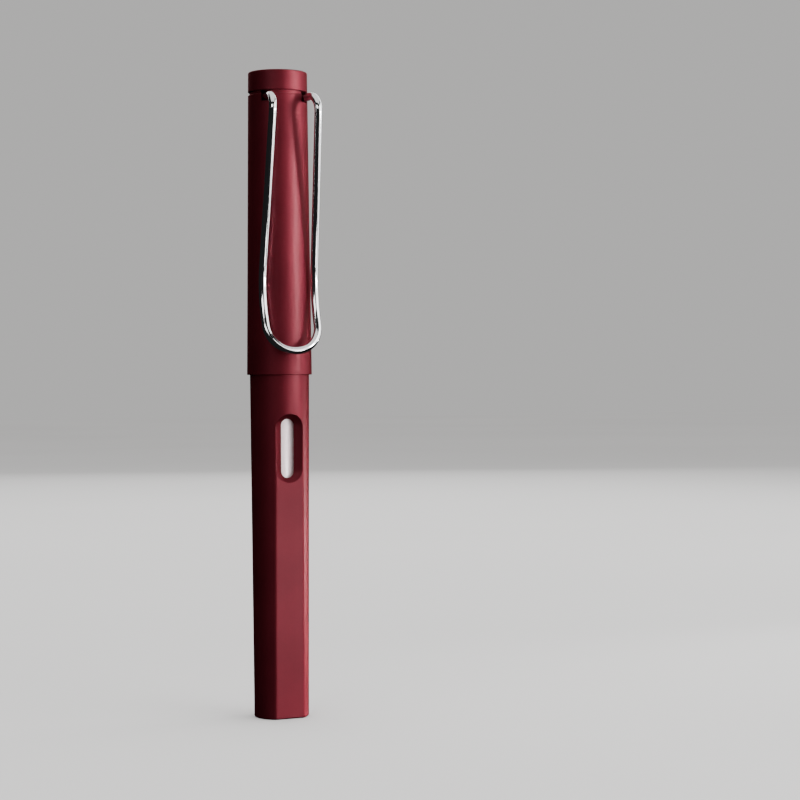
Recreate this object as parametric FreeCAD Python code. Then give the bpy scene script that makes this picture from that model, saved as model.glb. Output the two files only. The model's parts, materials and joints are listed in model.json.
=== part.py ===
import FreeCAD, Part
import math
import os

# Slim snap-cap fountain pen, in millimetres.
# Frame: the pen stands on its barrel end at z = 0 with its axis along +Z and the cap on top.
# The pocket clip, the ink windows' front side and the nib's top all face -Y.

V = FreeCAD.Vector

# ---------------------------------------------------------------- barrel
BARREL_LENGTH = 81.0        # end face to mouth; the cap hides the last few millimetres
BARREL_END_RADIUS = 5.95
BARREL_MOUTH_RADIUS = 6.48
BARREL_WALL = 1.25
BARREL_END_CHAMFER = 0.30
FLAT_END_OFFSET = 4.98      # axis to each flat at the barrel end
FLAT_DRAFT = 0.009          # the flats open by this much per millimetre of height
FLAT_EDGE_RADIUS = 1.0      # soft edge where a flat meets the round side
WINDOW_FROM_MOUTH = 22.5    # barrel mouth down to the middle of the ink windows
WINDOW_LENGTH = 15.0        # outer, bevelled outline
WINDOW_WIDTH = 6.4
SIGHT_LENGTH = 12.75        # opening through the wall
SIGHT_WIDTH = 2.95
SIGHT_LAND = 0.15           # straight part of the opening, inside the bevel
END_PLUG_LENGTH = 2.3

# ---------------------------------------------------------------- barrel thread
INSERT_LENGTH = 11.0
THREAD_PITCH = 1.2
THREAD_DEPTH = 0.45
THREAD_TURNS = 4.5
THREAD_FROM_MOUTH = 6.8     # barrel mouth down to the start of the section's thread
THREAD_CLEARANCE = 0.07
THREAD_BASE_HALF = 0.36
THREAD_CREST_HALF = 0.14
THREAD_ROOT_OVERLAP = 0.12  # the ridge and its groove start this far inside the wall

# ---------------------------------------------------------------- fits
GLUE_GAP = 0.02             # between pieces fixed to each other
RUNNING_GAP = 0.05          # between pieces that turn or slide on each other
CAP_GAP = 0.10              # barrel mouth to cap bore
EDGE_BREAK = 0.20           # chamfer on turned edges
FINE_BREAK = 0.12           # chamfer on the thinnest walls
WIDE_BREAK = 0.30           # chamfer on moulded edges

# ---------------------------------------------------------------- grip section
STUB_LENGTH = 8.5
STUB_WALL = 0.60
SEAL_RING_THICKNESS = 0.60
SEAL_RING_SEAT = 0.47       # the ring reaches this far over the barrel's end face
FLANGE_LENGTH = 1.0
FLANGE_STEP = 0.06          # the flange stands this much inside the barrel mouth
COLLAR_LENGTH = 4.4
CATCH_RING_HEIGHT = 1.2
CATCH_RING_WIDTH = 0.55
CATCH_RING_PROUD = 0.15
CATCH_RING_CREST = 0.40     # height of the ring's round outside
CATCH_RING_GAP = 0.08       # ring to the cap bushing's bore
GRIP_LENGTH = 22.0
GRIP_TAPER = 0.95
GRIP_STEP = 0.25            # from the collar down to the grip
GRIP_FLAT_DEPTH = 0.75
GRIP_FLAT_ANGLE = 52.0      # each finger flat is turned this far from the nib's top side
GRIP_FLAT_START = 2.0       # collar up to the finger flats
RIM_LENGTH = 1.6
RIM_PROUD = 0.20
WEB_THICKNESS = 2.0         # wall between the cartridge socket and the feed bore
SOCKET_DEPTH = 20.5         # from the stub's lower end up to the web
NIPPLE_RADIUS = 1.50
NIPPLE_LENGTH = 5.5
INK_BORE_RADIUS = 0.50
NIB_POCKET_DEPTH = 2.4
NIB_POCKET_GAP = 0.10
LUG_NOTCH_WIDTH = 2.0
LUG_NOTCH_HEIGHT = 2.5

# ---------------------------------------------------------------- nib and feed
NIB_EXPOSED = 16.7          # section front to the nib's tip
NIB_RADIUS = 3.2
NIB_THICKNESS = 0.30
NIB_TILT = 6.5
NIB_HIDDEN = 1.9            # length inside the section
NIB_TIP_RADIUS = 0.42
NIB_SLIT = 0.12
NIB_BREATHER_RADIUS = 0.50
NIB_SHOULDER = 4.6          # section front to where the nib starts to narrow
NIB_SIDE_INSET = 0.15       # the nib is this much narrower, each side, than its round back
NIB_SIDE_DROP = 0.40        # the sides curl down to this far past the pen's axis
NIB_WAIST = 0.62            # share of the full width left at the end of the shoulders
NIB_WAIST_RISE = 3.2        # length of the shoulders
NIB_TIP_SEAT = 0.75         # share of the tipping's radius that its middle stands past the nib
FEED_RADIUS = 2.58
FEED_REACH = 13.6           # section front to the feed's tip
FEED_TIP_RADIUS = 0.70
FEED_FIN_PITCH = 0.95
FEED_FIN_GAP = 0.38
FEED_FINS = 9
FEED_FIN_START = 1.2        # section front to the first gap
FEED_FIN_ROOT = 0.25        # axis to the bottom of the gaps
FEED_CHANNEL_WIDTH = 0.24
FEED_CHANNEL_DEPTH = 0.55
FEED_STEP = 0.20            # the feed narrows this far below the nib's rear end
FEED_NECK_DEPTH = 0.35      # step down to the neck under the nib's rear end
FEED_NECK_BELOW = 0.30
FEED_NECK_ABOVE = 0.50

# ---------------------------------------------------------------- cap
CAP_OVERLAP = 6.6           # the cap's lip reaches this far down the barrel
CAP_LIP_WALL = 0.47
CAP_TAPER = 0.63            # radius lost from lip to top
CAP_TOP_WALL = 0.55
BUSHING_LENGTH = 7.0
BUSHING_START = 2.0         # barrel mouth up to the bushing
BUSHING_WALL = 0.58
BUSHING_END_GAP = 0.20      # bushing to the cap's inner shoulder
BUSHING_GROOVE_DEPTH = 0.12 # groove that the retaining ring clicks into
BUSHING_GROOVE_SPARE = 0.20 # groove beyond the ring at each end
BUSHING_GROOVE_SLOPE = 0.15
INNER_CAP_WALL = 0.75
INNER_CAP_COVER = 6.6       # how far the inner cap's mouth reaches below the section front
TIP_ROOM = 4.3              # free height above the nib
ROOF_THICKNESS = 1.0
GROOVE_HEIGHT = 0.65
GROOVE_DEPTH = 0.35
CROWN_HEIGHT = 4.35
CROWN_EDGE_RADIUS = 0.30
BOSS_RADIUS = 2.2
BOSS_HEIGHT = 2.0
SCREW_RADIUS = 1.2
SCREW_HEAD_RADIUS = 2.7
SCREW_HEAD_HEIGHT = 1.2
SCREW_RECESS = 0.4          # crown top down to the screw head
SCREW_SLOT_WIDTH = 0.7
SCREW_SLOT_DEPTH = 0.6
SCREW_HEAD_GAP = 0.15       # screw head to the recess round it
SCREW_HOLE_FLOOR = 0.40     # inner cap's ceiling to the bottom of the screw's hole
SCREW_FOOT_GAP = 0.10

# ---------------------------------------------------------------- clip
WIRE_DIAMETER = 1.70
CLIP_LENGTH = 54.7          # wire centre at the top bend to wire centre at the loop's end
CLIP_TOP_HALF_WIDTH = 5.14
CLIP_WAIST_HALF_WIDTH = 6.05
CLIP_LOOP_HALF_WIDTH = 5.88
CLIP_ROOT_HALF_WIDTH = 3.90
CLIP_STANDOFF = 4.45        # cap surface to wire centre at the top
CLIP_WAIST_FROM_END = 12.4  # loop's end up to the waist corner
CLIP_WAIST_INSET = 1.75     # the waist corner's distance inside the cap surface
CLIP_END_LIFT = 2.20        # cap surface to wire centre at the loop's end
CLIP_TOP_BEND = 3.3
CLIP_WAIST_BEND = 26.0
CLIP_ROOT_OFFSET = 0.9      # axis to the wire's inner end, where it pivots
CLIP_FLOOR_GAP = 0.40       # inner cap roof to wire
CLIP_FLEX_ROOM = 0.53       # wire to crown
CLIP_SIDE_GAP = 0.15
CLIP_LOOP_STRAIGHT = 0.30   # straight run at the loop's end

# ---------------------------------------------------------------- converter
CONVERTER_RADIUS = 3.5
CONVERTER_WALL = 0.60
MOUTH_PROUD = 0.12          # mouth piece beyond the tube's radius
MOUTH_LENGTH = 8.0
MOUTH_SPIGOT = 3.0
MOUTH_TOP_GAP = 1.0         # mouth piece to the web in the section
SOCKET_GAP = 0.13
MOUTH_BORE_SPARE = 0.50     # bore beyond the nipple's end
TUBE_LENGTH = 46.0
LUG_WIDTH = 1.6
LUG_HEIGHT = 1.9
LUG_FLOOR_GAP = 0.15        # stub's lower end to the lugs
LUG_RIM_GAP = 0.10          # lugs to the stub's outside
GUIDE_TAIL = 7.0            # part of the guide below the tube
GUIDE_SPIGOT = 4.0          # part of the guide inside the tube
BAND_LENGTH = 13.8
BAND_WALL = 0.16
BAND_START = 0.20           # guide's lower end to the band
KNOB_LENGTH = 12.4
KNOB_FLOOR = 2.5
KNOB_GAP = 0.10
KNOB_GROOVES = 18
KNOB_GROOVE_RADIUS = 0.28
KNOB_GROOVE_MARGIN = 1.2    # plain rim beyond the grooves at each end
KNOB_CHAMFER = 0.35
KNOB_BORE_GAP = 0.15        # knob to the piston rod inside it
ROD_RADIUS = 1.60
ROD_BORE = 1.00
ROD_LENGTH = 19.8
ROD_FLAT = 1.30             # axis to each of the rod's two guiding flats
ROD_PIN = 1.4               # pin of the rod inside the seal
ROD_PIN_RADIUS = 1.00
ROD_PIN_ROOT = 0.50         # pin's start inside the rod
ROD_TOP_WALL = 1.0          # rod's top to its bore
SPINDLE_RADIUS = 0.88
SPINDLE_TOP_GAP = 1.8       # spindle end to the top of the rod at rest
SPINDLE_SOCKET_FLOOR = 1.0  # knob's outer end to the spindle
SEAL_LENGTH = 4.0
SEAL_GAP = 0.03
SEAL_LIP = 0.7
SEAL_WAIST_DEPTH = 0.35
SEAL_SLOPE = 0.30
SEAL_CUP_RIM = 0.8          # width of the lip round the hollow top
SEAL_CUP_DEPTH = 0.5
SEAL_REST_GAP = 0.30        # guide to the seal when the piston is down

TINY = 0.001                # tolerance when edges are picked by their place

# ---------------------------------------------------------------- derived heights
mouth_z = BARREL_LENGTH
window_z = mouth_z - WINDOW_FROM_MOUTH
insert_z = mouth_z - INSERT_LENGTH
stub_z = mouth_z - STUB_LENGTH
thread_z = mouth_z - THREAD_FROM_MOUTH
flange_z = mouth_z + SEAL_RING_THICKNESS
collar_z = flange_z + FLANGE_LENGTH
grip_z = collar_z + COLLAR_LENGTH
rim_z = grip_z + GRIP_LENGTH
front_z = rim_z + RIM_LENGTH
web_z = stub_z + SOCKET_DEPTH
feed_z = web_z + WEB_THICKNESS
nib_rear_z = front_z - NIB_HIDDEN
nib_tip_z = front_z + NIB_EXPOSED
nib_reach = 2 * NIB_EXPOSED
ceiling_z = nib_tip_z + NIB_TIP_RADIUS + TIP_ROOM
roof_z = ceiling_z + ROOF_THICKNESS
wire_radius = WIRE_DIAMETER / 2
wire_z = roof_z + CLIP_FLOOR_GAP + wire_radius
crown_z = wire_z + wire_radius + CLIP_FLEX_ROOM
cap_top_z = crown_z - GROOVE_HEIGHT
top_z = crown_z + CROWN_HEIGHT
lip_z = mouth_z - CAP_OVERLAP
catch_z = collar_z + (COLLAR_LENGTH - CATCH_RING_HEIGHT) / 2
bushing_z = mouth_z + BUSHING_START
bushing_top_z = bushing_z + BUSHING_LENGTH
inner_cap_z = front_z - INNER_CAP_COVER
loop_z = wire_z - CLIP_LENGTH

converter_top_z = web_z - MOUTH_TOP_GAP
tube_top_z = converter_top_z - MOUTH_LENGTH
tube_z = tube_top_z - TUBE_LENGTH
guide_z = tube_z - GUIDE_TAIL
guide_top_z = tube_z + GUIDE_SPIGOT
knob_top_z = guide_z - KNOB_GAP
knob_z = knob_top_z - KNOB_LENGTH
spindle_z = knob_z + SPINDLE_SOCKET_FLOOR
seal_z = guide_top_z + SEAL_REST_GAP
rod_z = seal_z - ROD_LENGTH

# ---------------------------------------------------------------- derived radii
socket_radius = CONVERTER_RADIUS + MOUTH_PROUD + SOCKET_GAP
thread_core = socket_radius + STUB_WALL
thread_crest = thread_core + THREAD_DEPTH
mouth_bore = BARREL_MOUTH_RADIUS - BARREL_WALL
lip_bore = BARREL_MOUTH_RADIUS + CAP_GAP
cap_lip_radius = lip_bore + CAP_LIP_WALL
cap_top_radius = cap_lip_radius - CAP_TAPER
cap_upper_bore = cap_top_radius - CAP_TOP_WALL
bushing_bore = lip_bore - GLUE_GAP - BUSHING_WALL
collar_radius = bushing_bore - CATCH_RING_GAP - CATCH_RING_PROUD
catch_bottom = collar_radius + CATCH_RING_PROUD - CATCH_RING_WIDTH
flange_radius = BARREL_MOUTH_RADIUS - FLANGE_STEP
inner_cap_bore = cap_upper_bore - GLUE_GAP - INNER_CAP_WALL
grip_rear_radius = collar_radius - GRIP_STEP
grip_front_radius = grip_rear_radius - GRIP_TAPER
tube_bore = CONVERTER_RADIUS - CONVERTER_WALL
nib_bore = NIB_RADIUS - NIB_THICKNESS
far = 4 * BARREL_MOUTH_RADIUS   # beyond every surface of the pen


def barrel_radius(z):
    """Outer radius of the barrel's round side at height z."""
    return BARREL_END_RADIUS + (BARREL_MOUTH_RADIUS - BARREL_END_RADIUS) * z / BARREL_LENGTH


def flat_offset(z):
    """Distance from the axis to the barrel's flats at height z."""
    return FLAT_END_OFFSET + FLAT_DRAFT * z


def cap_radius(z):
    """Outer radius of the cap and its crown at height z."""
    return cap_lip_radius - CAP_TAPER * (z - lip_z) / (top_z - lip_z)


# ---------------------------------------------------------------- shape helpers
def turned(outline):
    """Solid turned about Z from a closed outline of (radius, height) points."""
    points = [V(radius, 0, height) for radius, height in outline]
    face = Part.Face(Part.makePolygon(points + points[:1]))
    return face.revolve(V(0, 0, 0), V(0, 0, 1), 360)


def rod(radius, low, high):
    """Upright cylinder on the axis."""
    return Part.makeCylinder(radius, high - low, V(0, 0, low))


def ring(inner, outer, low, high):
    """Upright tube on the axis."""
    return turned([(inner, low), (outer, low), (outer, high), (inner, high)])


def block(x, y, z):
    """Box between pairs of coordinates."""
    return Part.makeBox(x[1] - x[0], y[1] - y[0], z[1] - z[0], V(x[0], y[0], z[0]))


def side_cutter(near_low, near_high, low, high):
    """Everything beyond a plane that faces -Y and leans with height."""
    outline = [(-near_low, low), (-near_high, high), (-far, high), (-far, low)]
    points = [V(-far, y, z) for y, z in outline]
    face = Part.Face(Part.makePolygon(points + points[:1]))
    return face.extrude(V(2 * far, 0, 0))


def turned_copy(shape, angle):
    """Copy of a shape turned about Z."""
    copy = shape.copy()
    copy.rotate(V(0, 0, 0), V(0, 0, 1), angle)
    return copy


def both_sides(shape):
    """A front cutter together with its copy on the back."""
    return shape.fuse(turned_copy(shape, 180))


def slot_outline(width, length, middle, y):
    """Upright slot with round ends, as a closed wire in the plane at y."""
    half = width / 2
    reach = length / 2 - half
    top, bottom = middle + reach, middle - reach
    edges = [
        Part.LineSegment(V(half, y, bottom), V(half, y, top)),
        Part.Arc(V(half, y, top), V(0, y, top + half), V(-half, y, top)),
        Part.LineSegment(V(-half, y, top), V(-half, y, bottom)),
        Part.Arc(V(-half, y, bottom), V(0, y, bottom - half), V(half, y, bottom)),
    ]
    return Part.Wire([edge.toShape() for edge in edges])


def helical_ridge(root, crest, root_half, crest_half, low, turns):
    """Right-hand helical ridge of trapezoid section, starting on the +X side at height low."""
    helix = Part.makeHelix(THREAD_PITCH, THREAD_PITCH * turns, root)
    helix.translate(V(0, 0, low))
    corners = [(root, -root_half), (crest, -crest_half), (crest, crest_half), (root, root_half)]
    points = [V(radius, 0, low + height) for radius, height in corners]
    profile = Part.makePolygon(points + points[:1])
    return Part.Wire(helix.Edges).makePipeShell([profile], True, True)


def rounded_path(corners, bends):
    """Straight runs between corners, joined by tangent arcs of the given radii."""
    edges = []
    start = corners[0]
    for before, corner, after, radius in zip(corners, corners[1:], corners[2:], bends):
        inward = V(corner - before).normalize()
        outward = V(after - corner).normalize()
        half_turn = inward.getAngle(outward) / 2
        setback = radius * math.tan(half_turn)
        arc_start = corner - inward * setback
        arc_end = corner + outward * setback
        inside = V(outward - inward).normalize()
        arc_middle = corner + inside * (radius / math.cos(half_turn) - radius)
        edges.append(Part.LineSegment(start, arc_start).toShape())
        edges.append(Part.Arc(arc_start, arc_middle, arc_end).toShape())
        start = arc_end
    edges.append(Part.LineSegment(start, corners[-1]).toShape())
    return Part.Wire(edges)


# ---------------------------------------------------------------- barrel pieces
def window_cutter():
    """Bevelled ink window through the front wall."""
    face_y = -flat_offset(window_z)
    inner_y = face_y + BARREL_WALL
    land_y = inner_y - SIGHT_LAND
    sight = Part.Face(slot_outline(SIGHT_WIDTH, SIGHT_LENGTH, window_z, land_y))
    hole = sight.extrude(V(0, BARREL_WALL, 0))
    bevel = Part.makeLoft(
        [
            slot_outline(SIGHT_WIDTH, SIGHT_LENGTH, window_z, land_y),
            slot_outline(WINDOW_WIDTH, WINDOW_LENGTH, window_z, face_y),
        ],
        True,
        True,
    )
    outer = Part.Face(slot_outline(WINDOW_WIDTH, WINDOW_LENGTH, window_z, face_y))
    mouth = outer.extrude(V(0, -BARREL_MOUTH_RADIUS, 0))
    return hole.fuse([bevel, mouth])


def barrel_outside():
    """Tapered round body with two soft-edged flats from the windows down."""
    lower = Part.makeCone(BARREL_END_RADIUS, barrel_radius(window_z), window_z)
    flats = side_cutter(flat_offset(0), flat_offset(window_z), 0, window_z)
    lower = lower.cut(both_sides(flats))
    edges = [
        edge
        for edge in lower.Edges
        if edge.BoundBox.ZLength > 0.9 * window_z and abs(edge.CenterOfMass.y) > FLAT_END_OFFSET / 2
    ]
    lower = lower.makeFillet(FLAT_EDGE_RADIUS, edges)
    rim = [edge for edge in lower.Edges if edge.BoundBox.ZMax < TINY]
    lower = lower.makeChamfer(BARREL_END_CHAMFER, rim)
    upper = Part.makeCone(
        barrel_radius(window_z), BARREL_MOUTH_RADIUS, mouth_z - window_z, V(0, 0, window_z)
    )
    return lower.fuse(upper)


def barrel_hollow(gap=0.0, low=0.0, high=insert_z):
    """Inside of the barrel below the thread insert, or a piece that fits there with a gap."""
    wall = BARREL_WALL + gap
    core = Part.makeCone(
        barrel_radius(low) - wall, barrel_radius(high) - wall, high - low, V(0, 0, low)
    )
    flats = side_cutter(flat_offset(low) - wall, flat_offset(high) - wall, low, high)
    return core.cut(both_sides(flats))


def barrel_shell():
    """Barrel's outside with its hollow, the insert's seat and an ink window front and back."""
    shell = barrel_outside().cut(barrel_hollow())
    shell = shell.cut(rod(mouth_bore, insert_z, mouth_z))
    return shell.cut(both_sides(window_cutter()))


def barrel_thread_insert():
    """Bush glued into the barrel's mouth, tapped with the section's thread."""
    bore = thread_core + THREAD_CLEARANCE
    first_turn = thread_z - THREAD_PITCH
    groove = helical_ridge(
        bore - THREAD_ROOT_OVERLAP,
        thread_crest + THREAD_CLEARANCE,
        THREAD_BASE_HALF + 2 * THREAD_CLEARANCE,
        THREAD_CREST_HALF + THREAD_CLEARANCE,
        first_turn,
        math.ceil((mouth_z - first_turn) / THREAD_PITCH) + 1,
    )
    run_out = 3 * THREAD_PITCH
    tap = rod(bore, insert_z - run_out, mouth_z + run_out).fuse(groove)
    return rod(mouth_bore - GLUE_GAP, insert_z, mouth_z).cut(tap)


def barrel_end_plug():
    """Plug glued flush into the barrel's end; its rim is eased all round."""
    plug = barrel_hollow(GLUE_GAP, 0, END_PLUG_LENGTH)
    rim = [edge for edge in plug.Edges if edge.BoundBox.ZMax < EDGE_BREAK]
    return plug.makeChamfer(EDGE_BREAK, rim)


# ---------------------------------------------------------------- section pieces
def section_seal_ring():
    """Washer between the barrel's mouth and the section's flange."""
    inner = thread_core + RUNNING_GAP
    outer = mouth_bore + SEAL_RING_SEAT
    return ring(inner, outer, mouth_z + GLUE_GAP, flange_z - GLUE_GAP)


def grip_body():
    """Outside of the grip section, from the stub's lower end to the front rim."""
    ring_low, ring_high = catch_z, catch_z + CATCH_RING_HEIGHT
    rim_radius = grip_front_radius + RIM_PROUD
    body = turned(
        [
            (0, stub_z),
            (thread_core, stub_z),
            (thread_core, flange_z),
            (flange_radius, flange_z),
            (flange_radius, collar_z),
            (collar_radius, collar_z),
            (collar_radius, ring_low),
            (catch_bottom, ring_low),
            (catch_bottom, ring_high),
            (collar_radius, ring_high),
            (collar_radius, grip_z),
            (grip_rear_radius, grip_z + GRIP_STEP),
            (grip_front_radius, rim_z),
            (rim_radius, rim_z + RIM_PROUD),
            (rim_radius, front_z - WIDE_BREAK),
            (rim_radius - WIDE_BREAK, front_z),
            (0, front_z),
        ]
    )
    flat = side_cutter(
        grip_rear_radius - GRIP_FLAT_DEPTH / 2,
        grip_front_radius - GRIP_FLAT_DEPTH,
        grip_z + GRIP_FLAT_START,
        rim_z,
    )
    for angle in (-GRIP_FLAT_ANGLE, GRIP_FLAT_ANGLE):
        body = body.cut(turned_copy(flat, angle))
    return body


def section_grip():
    """Section with its outside thread, the converter's socket and nipple, and the feed's bore."""
    body = grip_body()
    ridge = helical_ridge(
        thread_core - THREAD_ROOT_OVERLAP,
        thread_crest,
        THREAD_BASE_HALF,
        THREAD_CREST_HALF,
        thread_z,
        THREAD_TURNS,
    )
    nipple_z = web_z - NIPPLE_LENGTH
    socket = ring(NIPPLE_RADIUS, socket_radius, nipple_z, web_z)
    body = body.fuse(ridge)
    body = body.cut(rod(socket_radius, stub_z, nipple_z))
    body = body.cut(socket)
    body = body.cut(rod(INK_BORE_RADIUS, nipple_z, feed_z))
    body = body.cut(rod(FEED_RADIUS + GLUE_GAP, feed_z, front_z))
    body = body.cut(rod(NIB_RADIUS + NIB_POCKET_GAP, front_z - NIB_POCKET_DEPTH, front_z))
    notch = block(
        (-far, far), (-LUG_NOTCH_WIDTH / 2, LUG_NOTCH_WIDTH / 2), (stub_z, stub_z + LUG_NOTCH_HEIGHT)
    )
    return body.cut(notch)


def tilted_nib_rod(radius, reach):
    """Cylinder on the nib's leaning centre line, from the nib's rear end upward."""
    shape = rod(radius, nib_rear_z, nib_rear_z + reach)
    shape.rotate(V(0, -NIB_RADIUS, nib_rear_z), V(1, 0, 0), -NIB_TILT)
    return shape


def nib_tip_middle():
    """Point where the tipping sits, at the end of the nib's ridge."""
    run = nib_tip_z - nib_rear_z
    depth = NIB_RADIUS - NIB_THICKNESS / 2
    return V(0, -depth + run * math.tan(math.radians(NIB_TILT)), nib_tip_z)


def nib_slit():
    """Cutter for the slit, from the breather hole past the tip."""
    half = NIB_SLIT / 2
    return block((-half, half), (-far, far), (front_z + NIB_SHOULDER, top_z))


def nib():
    """Curved leaf with a slit, a breather hole and shoulders that narrow to the tip."""
    shell = tilted_nib_rod(NIB_RADIUS, nib_reach).cut(tilted_nib_rod(nib_bore, nib_reach))
    half = NIB_RADIUS - NIB_SIDE_INSET
    waist = NIB_WAIST * half
    shoulder_z = front_z + NIB_SHOULDER
    waist_z = shoulder_z + NIB_WAIST_RISE
    outline = [
        (-half, nib_rear_z),
        (half, nib_rear_z),
        (half, shoulder_z),
        (waist, waist_z),
        (NIB_TIP_RADIUS, nib_tip_z),
        (-NIB_TIP_RADIUS, nib_tip_z),
        (-waist, waist_z),
        (-half, shoulder_z),
    ]
    points = [V(x, -far, z) for x, z in outline]
    face = Part.Face(Part.makePolygon(points + points[:1]))
    blank = face.extrude(V(0, far + NIB_SIDE_DROP, 0))
    body = shell.common(blank)
    breather = Part.makeCylinder(NIB_BREATHER_RADIUS, far, V(0, -far, shoulder_z), V(0, 1, 0))
    return body.cut([breather, nib_slit()])


def nib_tip():
    """Two halves of a hard ball on the nib's end, one each side of the slit."""
    middle = nib_tip_middle() + V(0, 0, NIB_TIP_RADIUS * NIB_TIP_SEAT)
    ball = Part.makeSphere(NIB_TIP_RADIUS, middle)
    seat = block((-far, far), (-far, far), (nib_rear_z, nib_tip_z + GLUE_GAP))
    return ball.cut([seat, nib_slit()])


def feed_blank():
    """Round root inside the section and a nose that tapers up to the nib's underside."""
    tip_z = front_z + FEED_REACH
    top_y = nib_tip_middle().y + NIB_THICKNESS - (nib_tip_z - tip_z) * math.tan(math.radians(NIB_TILT))
    base = Part.Wire(Part.Circle(V(0, 0, front_z), V(0, 0, 1), FEED_RADIUS).toShape())
    middle = V(0, top_y + FEED_TIP_RADIUS, tip_z)
    tip = Part.Wire(Part.Circle(middle, V(0, 0, 1), FEED_TIP_RADIUS).toShape())
    front = Part.makeLoft([base, tip], True, True)
    return rod(FEED_RADIUS, feed_z + GLUE_GAP, front_z).fuse(front)


def feed():
    """Finned feed; from the nib's rear end up it keeps clear of the nib's inside."""
    body = feed_blank()
    for number in range(FEED_FINS):
        low = front_z + FEED_FIN_START + number * FEED_FIN_PITCH
        body = body.cut(block((-far, far), (FEED_FIN_ROOT, far), (low, low + FEED_FIN_GAP)))
    step_z = nib_rear_z - FEED_STEP
    lower = body.common(block((-far, far), (-far, far), (feed_z, step_z)))
    upper = body.common(block((-far, far), (-far, far), (step_z, top_z)))
    neck = rod(FEED_RADIUS - FEED_NECK_DEPTH, nib_rear_z - FEED_NECK_BELOW, nib_rear_z + FEED_NECK_ABOVE)
    upper = upper.common(tilted_nib_rod(nib_bore - GLUE_GAP, nib_reach).fuse(neck))
    half = FEED_CHANNEL_WIDTH / 2
    channel = block((-half, half), (-far, -FEED_RADIUS + FEED_CHANNEL_DEPTH), (feed_z, step_z))
    return lower.fuse(upper).cut(channel)


def cap_retaining_ring():
    """Ring in the collar's groove, with a sloped outside that the cap clicks over."""
    inner = catch_bottom + RUNNING_GAP
    outer = collar_radius + CATCH_RING_PROUD
    low = catch_z + GLUE_GAP
    high = catch_z + CATCH_RING_HEIGHT - GLUE_GAP
    middle = (low + high) / 2
    crest = CATCH_RING_CREST / 2
    return turned(
        [
            (inner, low),
            (outer - EDGE_BREAK, low),
            (outer, middle - crest),
            (outer, middle + crest),
            (outer - EDGE_BREAK, high),
            (inner, high),
        ]
    )


# ---------------------------------------------------------------- cap pieces
def clip_standoff():
    """Distance from the axis to the clip's wire at the top bend."""
    return cap_radius(wire_z) + CLIP_STANDOFF


def wire_notches(low, high):
    """Two slots on the front half, in line with the splayed wire, that let it into the cap."""
    half = wire_radius + CLIP_SIDE_GAP
    reach = clip_standoff() - CLIP_ROOT_OFFSET
    splay = math.degrees(math.atan2(CLIP_TOP_HALF_WIDTH - CLIP_ROOT_HALF_WIDTH, reach))
    slots = []
    for side in (-1, 1):
        slot = block((-half, half), (-far, 2 * half), (low, high))
        slot.rotate(V(0, 0, 0), V(0, 0, 1), side * splay)
        slot.translate(V(side * CLIP_ROOT_HALF_WIDTH, -CLIP_ROOT_OFFSET, 0))
        slots.append(slot)
    return slots[0].fuse(slots[1])


def cap_shell():
    """Tapered tube; its bore steps in above the bushing."""
    shoulder_z = bushing_top_z + BUSHING_END_GAP
    body = turned(
        [
            (lip_bore, lip_z),
            (cap_lip_radius - FINE_BREAK, lip_z),
            (cap_radius(lip_z + FINE_BREAK), lip_z + FINE_BREAK),
            (cap_radius(cap_top_z - FINE_BREAK), cap_top_z - FINE_BREAK),
            (cap_radius(cap_top_z) - FINE_BREAK, cap_top_z),
            (cap_upper_bore, cap_top_z),
            (cap_upper_bore, shoulder_z),
            (lip_bore, shoulder_z),
        ]
    )
    low = wire_z - wire_radius - CLIP_SIDE_GAP
    return body.cut(wire_notches(low, top_z))


def cap_bushing():
    """Sleeve in the cap's lower bore, with a shallow groove for the retaining ring."""
    outer = lip_bore - GLUE_GAP
    low_groove = catch_z - BUSHING_GROOVE_SPARE
    high_groove = catch_z + CATCH_RING_HEIGHT + BUSHING_GROOVE_SPARE
    groove = bushing_bore + BUSHING_GROOVE_DEPTH
    return turned(
        [
            (bushing_bore + WIDE_BREAK, bushing_z),
            (outer, bushing_z),
            (outer, bushing_top_z),
            (bushing_bore, bushing_top_z),
            (bushing_bore, high_groove),
            (groove, high_groove - BUSHING_GROOVE_SLOPE),
            (groove, low_groove + BUSHING_GROOVE_SLOPE),
            (bushing_bore, low_groove),
            (bushing_bore, bushing_z + WIDE_BREAK),
        ]
    )


def inner_cap():
    """Thin cup over the nib, with a boss on its roof for the top screw."""
    outer = cap_upper_bore - GLUE_GAP
    boss_z = roof_z + BOSS_HEIGHT
    body = turned(
        [
            (inner_cap_bore, inner_cap_z),
            (outer, inner_cap_z),
            (outer, roof_z),
            (BOSS_RADIUS, roof_z),
            (BOSS_RADIUS, boss_z),
            (0, boss_z),
            (0, ceiling_z),
            (inner_cap_bore, ceiling_z),
        ]
    )
    return body.cut(rod(SCREW_RADIUS + GLUE_GAP, ceiling_z + SCREW_HOLE_FLOOR, boss_z))


def clip_retainer():
    """Slotted disc that traps the clip's two ends; its rim is the groove's floor."""
    low, high = roof_z + GLUE_GAP, crown_z - GLUE_GAP
    seat_z = cap_top_z + GLUE_GAP
    seat = cap_upper_bore - GLUE_GAP
    groove_floor = cap_radius(crown_z) - GROOVE_DEPTH
    body = turned(
        [
            (BOSS_RADIUS + GLUE_GAP, low),
            (seat, low),
            (seat, seat_z),
            (groove_floor, seat_z),
            (groove_floor, high),
            (BOSS_RADIUS + GLUE_GAP, high),
        ]
    )
    return body.cut(wire_notches(low, high))


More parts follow.
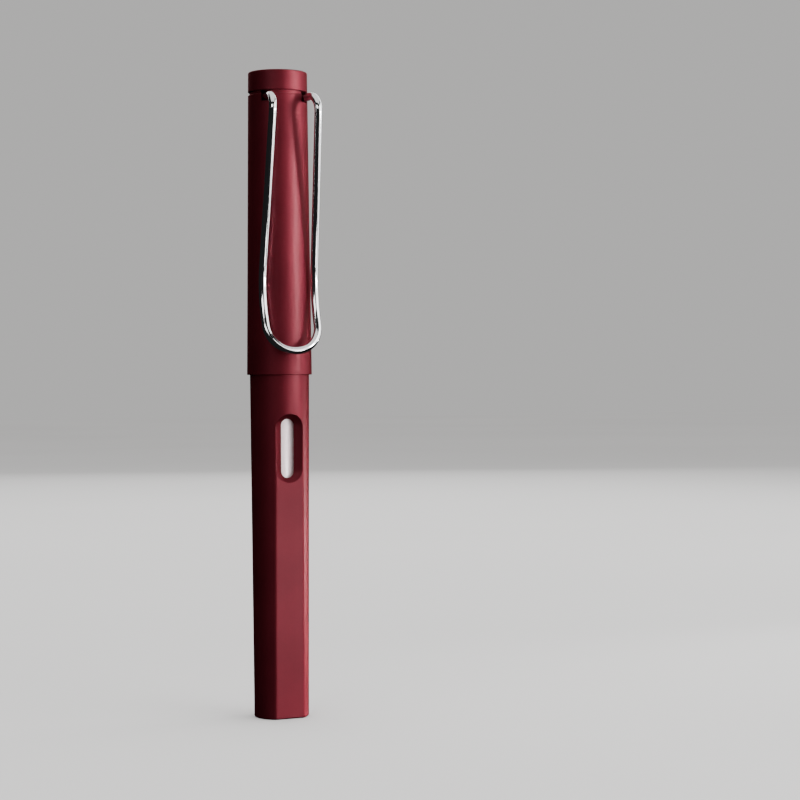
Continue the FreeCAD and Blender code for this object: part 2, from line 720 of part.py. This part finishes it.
def cap_crown():
    """Cap's end above the groove, recessed for the screw's head."""
    head_z = top_z - SCREW_RECESS - SCREW_HEAD_HEIGHT
    hole = SCREW_RADIUS + GLUE_GAP
    recess = SCREW_HEAD_RADIUS + SCREW_HEAD_GAP
    body = turned(
        [
            (hole, crown_z),
            (cap_radius(crown_z) - FINE_BREAK, crown_z),
            (cap_radius(crown_z + FINE_BREAK), crown_z + FINE_BREAK),
            (cap_radius(top_z), top_z),
            (recess + FINE_BREAK, top_z),
            (recess, top_z - FINE_BREAK),
            (recess, head_z),
            (hole, head_z),
        ]
    )
    edges = [
        edge
        for edge in body.Edges
        if edge.BoundBox.ZMin > top_z - TINY and edge.BoundBox.XLength > 2 * (recess + EDGE_BREAK)
    ]
    return body.makeFillet(CROWN_EDGE_RADIUS, edges)


def cap_top_screw():
    """Slotted screw that clamps the crown and the clip retainer to the inner cap."""
    head_top_z = top_z - SCREW_RECESS
    head_z = head_top_z - SCREW_HEAD_HEIGHT
    foot_z = ceiling_z + SCREW_HOLE_FLOOR + SCREW_FOOT_GAP
    body = turned(
        [
            (0, foot_z),
            (SCREW_RADIUS - EDGE_BREAK, foot_z),
            (SCREW_RADIUS, foot_z + EDGE_BREAK),
            (SCREW_RADIUS, head_z + GLUE_GAP),
            (SCREW_HEAD_RADIUS, head_z + GLUE_GAP),
            (SCREW_HEAD_RADIUS, head_top_z - EDGE_BREAK),
            (SCREW_HEAD_RADIUS - EDGE_BREAK, head_top_z),
            (0, head_top_z),
        ]
    )
    half = SCREW_SLOT_WIDTH / 2
    slot = block((-far, far), (-half, half), (head_top_z - SCREW_SLOT_DEPTH, top_z))
    return body.cut(slot)


def clip_corners():
    """Corners of the clip's centre line, from one inner end round the loop to the other."""
    waist_z = loop_z + CLIP_WAIST_FROM_END
    waist = cap_radius(waist_z) - CLIP_WAIST_INSET
    end = cap_radius(loop_z) + CLIP_END_LIFT
    side = [
        V(CLIP_ROOT_HALF_WIDTH, -CLIP_ROOT_OFFSET, wire_z),
        V(CLIP_TOP_HALF_WIDTH, -clip_standoff(), wire_z),
        V(CLIP_WAIST_HALF_WIDTH, -waist, waist_z),
        V(CLIP_LOOP_HALF_WIDTH, -end, loop_z),
    ]
    other = [V(-point.x, point.y, point.z) for point in reversed(side)]
    return side + other


def pocket_clip():
    """One bent wire: out of the cap, down both sides and round the loop's end."""
    loop_bend = CLIP_LOOP_HALF_WIDTH - CLIP_LOOP_STRAIGHT / 2
    bends = [CLIP_TOP_BEND, CLIP_WAIST_BEND, loop_bend, loop_bend, CLIP_WAIST_BEND, CLIP_TOP_BEND]
    corners = clip_corners()
    path = rounded_path(corners, bends)
    start = corners[0]
    circle = Part.Circle(start, corners[1] - start, wire_radius).toShape()
    return path.makePipeShell([Part.Wire(circle)], True, False)


# ---------------------------------------------------------------- converter pieces
def converter_mouth():
    """Mouthpiece pushed on the section's nipple, with a spigot in the reservoir."""
    outer = CONVERTER_RADIUS + MOUTH_PROUD
    bore = NIPPLE_RADIUS + RUNNING_GAP
    bore_z = web_z - NIPPLE_LENGTH - MOUTH_BORE_SPARE
    spigot = tube_bore - GLUE_GAP
    return turned(
        [
            (INK_BORE_RADIUS, tube_top_z - MOUTH_SPIGOT),
            (spigot, tube_top_z - MOUTH_SPIGOT),
            (spigot, tube_top_z + GLUE_GAP),
            (outer, tube_top_z + GLUE_GAP),
            (outer, converter_top_z - WIDE_BREAK),
            (outer - WIDE_BREAK, converter_top_z),
            (bore + WIDE_BREAK, converter_top_z),
            (bore, converter_top_z - WIDE_BREAK),
            (bore, bore_z),
            (INK_BORE_RADIUS, bore_z),
        ]
    )


def converter_reservoir():
    """Tube with two lugs that rest in the section's notches."""
    tube = ring(tube_bore, CONVERTER_RADIUS, tube_z, tube_top_z)
    lug_low = stub_z + LUG_FLOOR_GAP
    half = LUG_WIDTH / 2
    reach = thread_core - LUG_RIM_GAP
    lugs = block((-reach, reach), (-half, half), (lug_low, lug_low + LUG_HEIGHT))
    lugs = lugs.cut(rod(CONVERTER_RADIUS - CONVERTER_WALL / 2, stub_z, mouth_z))
    return tube.fuse(lugs)


def converter_band():
    """Thin sleeve that joins the guide to the reservoir."""
    inner = CONVERTER_RADIUS + GLUE_GAP
    low = guide_z + BAND_START
    return ring(inner, inner + BAND_WALL, low, low + BAND_LENGTH)


def rod_section(radius, flat, low, high):
    """Round bar with two guiding flats that face front and back."""
    slab = block((-far, far), (-flat, flat), (low, high))
    return rod(radius, low, high).common(slab)


def converter_guide():
    """Plug in the reservoir's end whose flats keep the piston rod from turning."""
    spigot = tube_bore - GLUE_GAP
    body = rod(CONVERTER_RADIUS, guide_z, tube_z - GLUE_GAP)
    body = body.fuse(rod(spigot, tube_z - GLUE_GAP, guide_top_z))
    keyed = rod_section(
        ROD_RADIUS + RUNNING_GAP, ROD_FLAT + RUNNING_GAP, guide_z, guide_top_z
    )
    return body.cut(keyed)


def converter_knob():
    """Fluted knob, hollow for the piston rod and the spindle."""
    radius = CONVERTER_RADIUS + MOUTH_PROUD
    body = rod(radius, knob_z, knob_top_z)
    rims = [edge for edge in body.Edges if edge.BoundBox.ZLength < TINY]
    body = body.makeChamfer(KNOB_CHAMFER, rims)
    body = body.cut(rod(ROD_RADIUS + KNOB_BORE_GAP, knob_z + KNOB_FLOOR, knob_top_z))
    body = body.cut(rod(SPINDLE_RADIUS + GLUE_GAP, spindle_z, knob_top_z))
    flute = Part.makeCylinder(
        KNOB_GROOVE_RADIUS,
        KNOB_LENGTH - 2 * KNOB_GROOVE_MARGIN,
        V(radius, 0, knob_z + KNOB_GROOVE_MARGIN),
    )
    flutes = [turned_copy(flute, number * 360 / KNOB_GROOVES) for number in range(KNOB_GROOVES)]
    return body.cut(flutes)


def converter_spindle():
    """Pin fixed in the knob that drives the piston rod; its screw thread is left plain."""
    low = spindle_z + GLUE_GAP
    top = seal_z - SPINDLE_TOP_GAP
    return turned(
        [
            (0, low),
            (SPINDLE_RADIUS, low),
            (SPINDLE_RADIUS, top - WIDE_BREAK),
            (SPINDLE_RADIUS - WIDE_BREAK, top),
            (0, top),
        ]
    )


def converter_piston_rod():
    """Hollow rod with two guiding flats and a pin that holds the seal."""
    body = rod_section(ROD_RADIUS, ROD_FLAT, rod_z, seal_z)
    body = body.fuse(rod(ROD_PIN_RADIUS, seal_z - ROD_PIN_ROOT, seal_z + ROD_PIN))
    return body.cut(rod(ROD_BORE, rod_z, seal_z - ROD_TOP_WALL))


def converter_piston_seal():
    """Seal with a lip at each end, hollow on top."""
    outer = tube_bore - SEAL_GAP
    waist = outer - SEAL_WAIST_DEPTH
    low = seal_z + GLUE_GAP
    high = seal_z + SEAL_LENGTH
    body = turned(
        [
            (0, low),
            (outer, low),
            (outer, low + SEAL_LIP),
            (waist, low + SEAL_LIP + SEAL_SLOPE),
            (waist, high - SEAL_LIP - SEAL_SLOPE),
            (outer, high - SEAL_LIP),
            (outer, high),
            (outer - SEAL_CUP_RIM, high - SEAL_CUP_DEPTH),
            (0, high - SEAL_CUP_DEPTH),
        ]
    )
    return body.cut(rod(ROD_PIN_RADIUS + GLUE_GAP, seal_z, seal_z + ROD_PIN + GLUE_GAP))


PIECES = [
    barrel_shell,
    barrel_thread_insert,
    barrel_end_plug,
    section_seal_ring,
    section_grip,
    feed,
    nib,
    nib_tip,
    cap_retaining_ring,
    cap_shell,
    cap_bushing,
    inner_cap,
    clip_retainer,
    cap_crown,
    cap_top_screw,
    pocket_clip,
    converter_mouth,
    converter_reservoir,
    converter_band,
    converter_guide,
    converter_knob,
    converter_spindle,
    converter_piston_rod,
    converter_piston_seal,
]

os.makedirs("parts", exist_ok=True)
for piece in PIECES:
    shape = piece()
    assert shape.isValid(), piece.__name__
    assert shape.Solids, piece.__name__
    shape.exportStep("parts/" + piece.__name__ + ".step")
    print(piece.__name__, len(shape.Solids), "solid,", round(shape.Volume, 2), "mm3")
print("pen length", round(top_z, 2), "lip height", round(lip_z, 2), "nib tip", round(nib_tip_z, 2))
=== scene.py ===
import json
import math
from typing import NamedTuple

import bpy
from mathutils import Matrix, Vector

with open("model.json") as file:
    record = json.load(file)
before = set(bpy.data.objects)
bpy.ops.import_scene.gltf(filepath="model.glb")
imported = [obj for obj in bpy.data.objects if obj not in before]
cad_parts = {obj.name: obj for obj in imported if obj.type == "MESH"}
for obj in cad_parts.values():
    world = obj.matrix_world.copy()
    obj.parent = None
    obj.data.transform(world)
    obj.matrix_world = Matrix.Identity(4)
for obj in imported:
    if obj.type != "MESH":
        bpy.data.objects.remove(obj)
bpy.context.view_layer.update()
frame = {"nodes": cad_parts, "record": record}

# Looks for a capped fountain pen that stands on its barrel end.
# Metres; the pen's axis is +Z and the clip, the front window and the nib's top face -Y.

nodes = frame["nodes"]

# ---------------------------------------------------------------- the view
CAMERA_AZIMUTH = -21.5      # degrees round the pen: 0 looks at the clip, 90 from +X
CAMERA_DISTANCE = 0.450     # to the pen's axis
CAMERA_HEIGHT = 0.0744      # above the floor
CAMERA_YAW = 3.34           # degrees to the right, so that the pen stands left of the middle
CAMERA_PITCH = 0.72         # degrees down
CAMERA_ROLL = 0.34          # degrees clockwise
LENS_MM = 92.8
SENSOR_MM = 36.0

# ---------------------------------------------------------------- colours
RED_DEEP = (0.116, 0.0100, 0.0182, 1.0)
RED_LIFTED = (0.139, 0.0124, 0.0218, 1.0)
RED_GRAZING = (0.66, 0.25, 0.31, 1.0)
BLACK_SATIN = (0.012, 0.012, 0.013, 1.0)
BLACK_LIFTED = (0.020, 0.020, 0.022, 1.0)
GREY_PLASTIC = (0.035, 0.035, 0.038, 1.0)
CHROME_DARK = (0.92, 0.92, 0.925, 1.0)
CHROME_TINT = (0.97, 0.97, 0.975, 1.0)
STEEL_DARK = (0.56, 0.55, 0.53, 1.0)
STEEL_TINT = (0.72, 0.71, 0.68, 1.0)
# painted light: the milky tube's two colours carry a pink tint and full brightness that stand
# in for red light reflected from the barrel round the window; the noise between them is
# random tone
MILKY_WHITE_PAINTED_PINK_LIGHT = (1.00, 0.83, 0.84, 1.0)
MILKY_DIM_PAINTED_PINK_LIGHT = (0.98, 0.78, 0.80, 1.0)
ROD_WHITE = (0.80, 0.80, 0.78, 1.0)
ROD_SHADE = (0.70, 0.70, 0.69, 1.0)
RUBBER_BLACK = (0.008, 0.008, 0.008, 1.0)
RUBBER_DUST = (0.020, 0.020, 0.020, 1.0)
FLOOR_PALE = (0.67, 0.662, 0.655, 1.0)
FLOOR_SHADE = (0.65, 0.642, 0.635, 1.0)
BACKGROUND_PALE = (0.530, 0.524, 0.518, 1.0)
AMBIENT_PALE = (0.800, 0.797, 0.795, 1.0)
STUDIO_DARK = (0.012, 0.012, 0.013, 1.0)

# ---------------------------------------------------------------- grain
NOISE_START = 0.35          # noise at or below this gives a material's first value
NOISE_END = 0.65            # noise at or above this gives its second
EVEN_GRAIN = (1.0, 1.0, 1.0)

# ---------------------------------------------------------------- the studio
FLOOR_HALF = 3.0            # from the pen to each edge of the floor


class Softbox(NamedTuple):
    """A rectangular lamp that looks at a point on the pen's axis."""

    name: str
    azimuth: float          # degrees from the camera's own, towards its right
    distance: float         # from the pen's axis
    height: float
    width: float
    tall: float
    watts: float
    aim_height: float
    spread: float = 180.0   # degrees; a narrow one lights only what it is aimed at


SOFTBOXES = (
    Softbox(
        "wide_card", azimuth=78.0, distance=0.60, height=0.265,
        width=1.25, tall=0.50, watts=4.4, aim_height=0.170,
    ),
    Softbox(
        "wide_key", azimuth=70.0, distance=0.55, height=0.275,
        width=0.26, tall=0.26, watts=0.50, aim_height=0.130,
    ),
    Softbox(
        "cap_key", azimuth=68.0, distance=0.50, height=0.122,
        width=0.26, tall=0.06, watts=0.088, aim_height=0.122, spread=15.0,
    ),
    Softbox(
        "flat_key", azimuth=48.0, distance=0.35, height=0.022,
        width=0.12, tall=0.040, watts=0.0280, aim_height=0.000, spread=34.0,
    ),
    Softbox(
        "barrel_key", azimuth=116.0, distance=0.32, height=0.022,
        width=0.12, tall=0.040, watts=0.048, aim_height=0.000, spread=30.0,
    ),
    Softbox(
        "front_fill", azimuth=-22.0, distance=0.80, height=0.400,
        width=0.60, tall=0.20, watts=1.10, aim_height=0.060,
    ),
    Softbox(
        "back_fill", azimuth=150.0, distance=0.80, height=0.520,
        width=0.70, tall=0.45, watts=2.6, aim_height=0.070,
    ),
    Softbox(
        "back_left", azimuth=-160.0, distance=0.80, height=0.520,
        width=0.70, tall=0.45, watts=1.6, aim_height=0.070,
    ),
    Softbox(
        "rear_card", azimuth=180.0, distance=1.10, height=0.300,
        width=0.80, tall=0.35, watts=1.2, aim_height=0.090,
    ),
    Softbox(
        "overhead", azimuth=0.0, distance=0.02, height=0.700,
        width=1.10, tall=1.10, watts=3.8, aim_height=0.000,
    ),
)


# ---------------------------------------------------------------- material helpers
class Recipe:
    """A node material: uniform values sit on the principled shader's own sockets."""

    def __init__(self, name, **uniform):
        self.material = bpy.data.materials.new(name)
        self.material.use_nodes = True
        self.tree = self.material.node_tree
        self.shader = self.tree.nodes["Principled BSDF"]
        for socket, value in uniform.items():
            self.shader.inputs[socket.replace("_", " ")].default_value = value

    def add(self, kind, **sockets):
        node = self.tree.nodes.new(kind)
        for socket, value in sockets.items():
            node.inputs[socket.replace("_", " ")].default_value = value
        return node

    def link(self, source, target):
        self.tree.links.new(source, target)

    def place(self, stretch):
        """The point on the piece in metres, stretched for grain that runs one way."""
        where = self.add("ShaderNodeTexCoord")
        mapping = self.add("ShaderNodeMapping", Scale=stretch)
        self.link(where.outputs["Object"], mapping.inputs["Vector"])
        return mapping.outputs["Vector"]

    def noise(self, scale, detail=3.0, stretch=EVEN_GRAIN):
        node = self.add("ShaderNodeTexNoise", Scale=scale, Detail=detail)
        self.link(self.place(stretch), node.inputs["Vector"])
        return node.outputs["Fac"]

    def colour(self, grain, first, second):
        """Base colour that runs from first to second with the grain."""
        ramp = self.tree.nodes.new("ShaderNodeValToRGB")
        start, end = ramp.color_ramp.elements
        start.position, start.color = NOISE_START, first
        end.position, end.color = NOISE_END, second
        self.link(grain, ramp.inputs["Fac"])
        self.link(ramp.outputs["Color"], self.shader.inputs["Base Color"])

    def roughness(self, grain, low, high):
        """Roughness that runs from low to high with the grain."""
        node = self.add(
            "ShaderNodeMapRange",
            From_Min=NOISE_START, From_Max=NOISE_END, To_Min=low, To_Max=high,
        )
        self.link(grain, node.inputs["Value"])
        self.link(node.outputs["Result"], self.shader.inputs["Roughness"])

    def bump(self, grain, depth, strength):
        """Fine relief, depth in metres."""
        node = self.add("ShaderNodeBump", Strength=strength, Distance=depth)
        self.link(grain, node.inputs["Height"])
        self.link(node.outputs["Normal"], self.shader.inputs["Normal"])


def along_axis(share):
    """Stretch that draws the grain out into lines along the pen's axis."""
    return (1.0, 1.0, share)


# ---------------------------------------------------------------- materials
def satin_red():
    """Satin red finish on metal: a fine blasted grain under a thin clear layer."""
    made = Recipe(
        "satin_red",
        Metallic=0.90,
        Specular_Tint=RED_GRAZING,
        Coat_Weight=0.15,
        Coat_Roughness=0.38,
    )
    made.colour(made.noise(scale=90.0, detail=4.0), RED_DEEP, RED_LIFTED)
    made.roughness(made.noise(scale=2600.0, detail=2.0), low=0.53, high=0.58)
    made.bump(made.noise(scale=6500.0, detail=2.0), depth=0.000012, strength=0.35)
    return made.material


def black_plastic():
    """Moulded satin plastic of the section, the feed and the converter's ends."""
    made = Recipe("black_plastic", Specular_IOR_Level=0.25)
    made.colour(made.noise(scale=160.0), BLACK_SATIN, BLACK_LIFTED)
    made.roughness(made.noise(scale=1500.0), low=0.34, high=0.42)
    made.bump(made.noise(scale=5200.0), depth=0.000015, strength=0.30)
    return made.material


def insert_plastic():
    """Duller dark plastic of the pieces inside the barrel, cap and converter."""
    made = Recipe("insert_plastic")
    made.colour(made.noise(scale=220.0), BLACK_LIFTED, GREY_PLASTIC)
    made.roughness(made.noise(scale=1200.0), low=0.45, high=0.60)
    made.bump(made.noise(scale=4200.0), depth=0.000020, strength=0.35)
    return made.material


def chrome():
    """Plated metal with faint polishing lines along the pen's axis."""
    made = Recipe("chrome", Metallic=1.0)
    made.colour(made.noise(scale=700.0), CHROME_DARK, CHROME_TINT)
    made.roughness(made.noise(scale=2400.0, stretch=along_axis(0.12)), low=0.05, high=0.11)
    made.bump(
        made.noise(scale=3800.0, stretch=along_axis(0.10)), depth=0.000003, strength=0.20
    )
    return made.material


def nib_steel():
    """Steel brushed along the pen's axis."""
    made = Recipe("nib_steel", Metallic=1.0)
    made.colour(made.noise(scale=900.0, stretch=along_axis(0.06)), STEEL_DARK, STEEL_TINT)
    made.roughness(made.noise(scale=3000.0, stretch=along_axis(0.05)), low=0.14, high=0.26)
    made.bump(
        made.noise(scale=6000.0, stretch=along_axis(0.04)), depth=0.000004, strength=0.25
    )
    return made.material


def milky_tube():
    """Cloudy white plastic that lets a little light in, its base colour tinted pink and
    brightened as painted red reflection and light from the window's walls.
    """
    made = Recipe(
        "milky_tube",
        Subsurface_Weight=0.20,
        Subsurface_Scale=0.0005,
        Subsurface_Radius=(1.0, 0.8, 0.8),
        Coat_Weight=0.3,
    )
    made.colour(made.noise(scale=140.0), MILKY_DIM_PAINTED_PINK_LIGHT, MILKY_WHITE_PAINTED_PINK_LIGHT)
    made.roughness(made.noise(scale=900.0), low=0.22, high=0.32)
    made.bump(made.noise(scale=1600.0), depth=0.000010, strength=0.15)
    return made.material


def white_plastic():
    """Plain moulded plastic of the piston rod."""
    made = Recipe("white_plastic")
    made.colour(made.noise(scale=260.0), ROD_SHADE, ROD_WHITE)
    made.roughness(made.noise(scale=1500.0), low=0.38, high=0.50)
    made.bump(made.noise(scale=4200.0), depth=0.000012, strength=0.25)
    return made.material


def seal_rubber():
    """Matt black rubber of the washer and the piston's seal."""
    made = Recipe("seal_rubber")
    made.colour(made.noise(scale=500.0), RUBBER_BLACK, RUBBER_DUST)
    made.roughness(made.noise(scale=1400.0), low=0.62, high=0.80)
    made.bump(made.noise(scale=3200.0), depth=0.000025, strength=0.40)
    return made.material


def floor_paper():
    """Pale matt paper without a sheen."""
    made = Recipe("floor_paper", Specular_IOR_Level=0.0)
    made.colour(made.noise(scale=3.0), FLOOR_SHADE, FLOOR_PALE)
    made.roughness(made.noise(scale=40.0), low=0.75, high=0.85)
    return made.material


# ---------------------------------------------------------------- studio
def around(azimuth, distance, height):
    """Point at an azimuth round the pen: 0 is towards -Y and 90 towards +X."""
    turn = math.radians(azimuth)
    return Vector((math.sin(turn) * distance, -math.cos(turn) * distance, height))


def add_softbox(box):
    lamp = bpy.data.lights.new(box.name, "AREA")
    lamp.shape = "RECTANGLE"
    lamp.size = box.width
    lamp.size_y = box.tall
    lamp.energy = box.watts
    lamp.spread = math.radians(box.spread)
    holder = bpy.data.objects.new(box.name, lamp)
    bpy.context.scene.collection.objects.link(holder)
    holder.location = around(CAMERA_AZIMUTH + box.azimuth, box.distance, box.height)
    direction = Vector((0.0, 0.0, box.aim_height)) - holder.location
    holder.rotation_mode = "QUATERNION"
    holder.rotation_quaternion = direction.to_track_quat("-Z", "Y")
    holder.visible_camera = False


def add_floor():
    """A plain floor that shiny pieces don't mirror."""
    mesh = bpy.data.meshes.new("floor")
    corners = [
        (-FLOOR_HALF, -FLOOR_HALF, 0.0),
        (FLOOR_HALF, -FLOOR_HALF, 0.0),
        (FLOOR_HALF, FLOOR_HALF, 0.0),
        (-FLOOR_HALF, FLOOR_HALF, 0.0),
    ]
    mesh.from_pydata(corners, [], [(0, 1, 2, 3)])
    floor = bpy.data.objects.new("floor", mesh)
    bpy.context.scene.collection.objects.link(floor)
    floor.data.materials.append(floor_paper())
    floor.visible_glossy = False


def add_world():
    """Pale to the camera and to diffuse rays; every other ray meets a dark studio."""
    world = bpy.data.worlds.new("studio")
    bpy.context.scene.world = world
    world.use_nodes = True
    tree = world.node_tree
    rays = tree.nodes.new("ShaderNodeLightPath")
    shown = tree.nodes["Background"]
    shown.inputs["Color"].default_value = STUDIO_DARK
    for ray, colour in (("Is Diffuse Ray", AMBIENT_PALE), ("Is Camera Ray", BACKGROUND_PALE)):
        pale = tree.nodes.new("ShaderNodeBackground")
        pale.inputs["Color"].default_value = colour
        choose = tree.nodes.new("ShaderNodeMixShader")
        factor, otherwise, chosen = choose.inputs
        tree.links.new(rays.outputs[ray], factor)
        tree.links.new(shown.outputs[0], otherwise)
        tree.links.new(pale.outputs["Background"], chosen)
        shown = choose
    tree.links.new(shown.outputs[0], tree.nodes["World Output"].inputs["Surface"])


def add_camera():
    data = bpy.data.cameras.new("camera")
    data.lens = LENS_MM
    data.sensor_width = SENSOR_MM
    data.dof.use_dof = False
    holder = bpy.data.objects.new("camera", data)
    bpy.context.scene.collection.objects.link(holder)
    place = around(CAMERA_AZIMUTH, CAMERA_DISTANCE, CAMERA_HEIGHT)
    level = Vector((-place.x, -place.y, 0.0)).to_track_quat("-Z", "Y").to_matrix()
    yaw = Matrix.Rotation(math.radians(-CAMERA_YAW), 3, "Z")
    pitch = Matrix.Rotation(math.radians(-CAMERA_PITCH), 3, "X")
    roll = Matrix.Rotation(math.radians(-CAMERA_ROLL), 3, "Z")
    turned = yaw @ level @ pitch @ roll
    holder.matrix_world = Matrix.Translation(place) @ turned.to_4x4()
    bpy.context.scene.camera = holder


# ---------------------------------------------------------------- the pen
def dress_cad_nodes():
    """Gives every CAD node the material of its slot in the record."""
    makers = {
        "satin_red": satin_red,
        "black_plastic": black_plastic,
        "insert_plastic": insert_plastic,
        "chrome": chrome,
        "nib_steel": nib_steel,
        "milky_tube": milky_tube,
        "white_plastic": white_plastic,
        "seal_rubber": seal_rubber,
    }
    finishes = {slot: make() for slot, make in makers.items()}
    for subpart in frame["record"]["subparts"]:
        piece = nodes[subpart["node"]]
        piece.data.materials.clear()
        piece.data.materials.append(finishes[subpart["material_slot"]])


add_camera()
add_world()
for softbox in SOFTBOXES:
    add_softbox(softbox)
add_floor()
dress_cad_nodes()
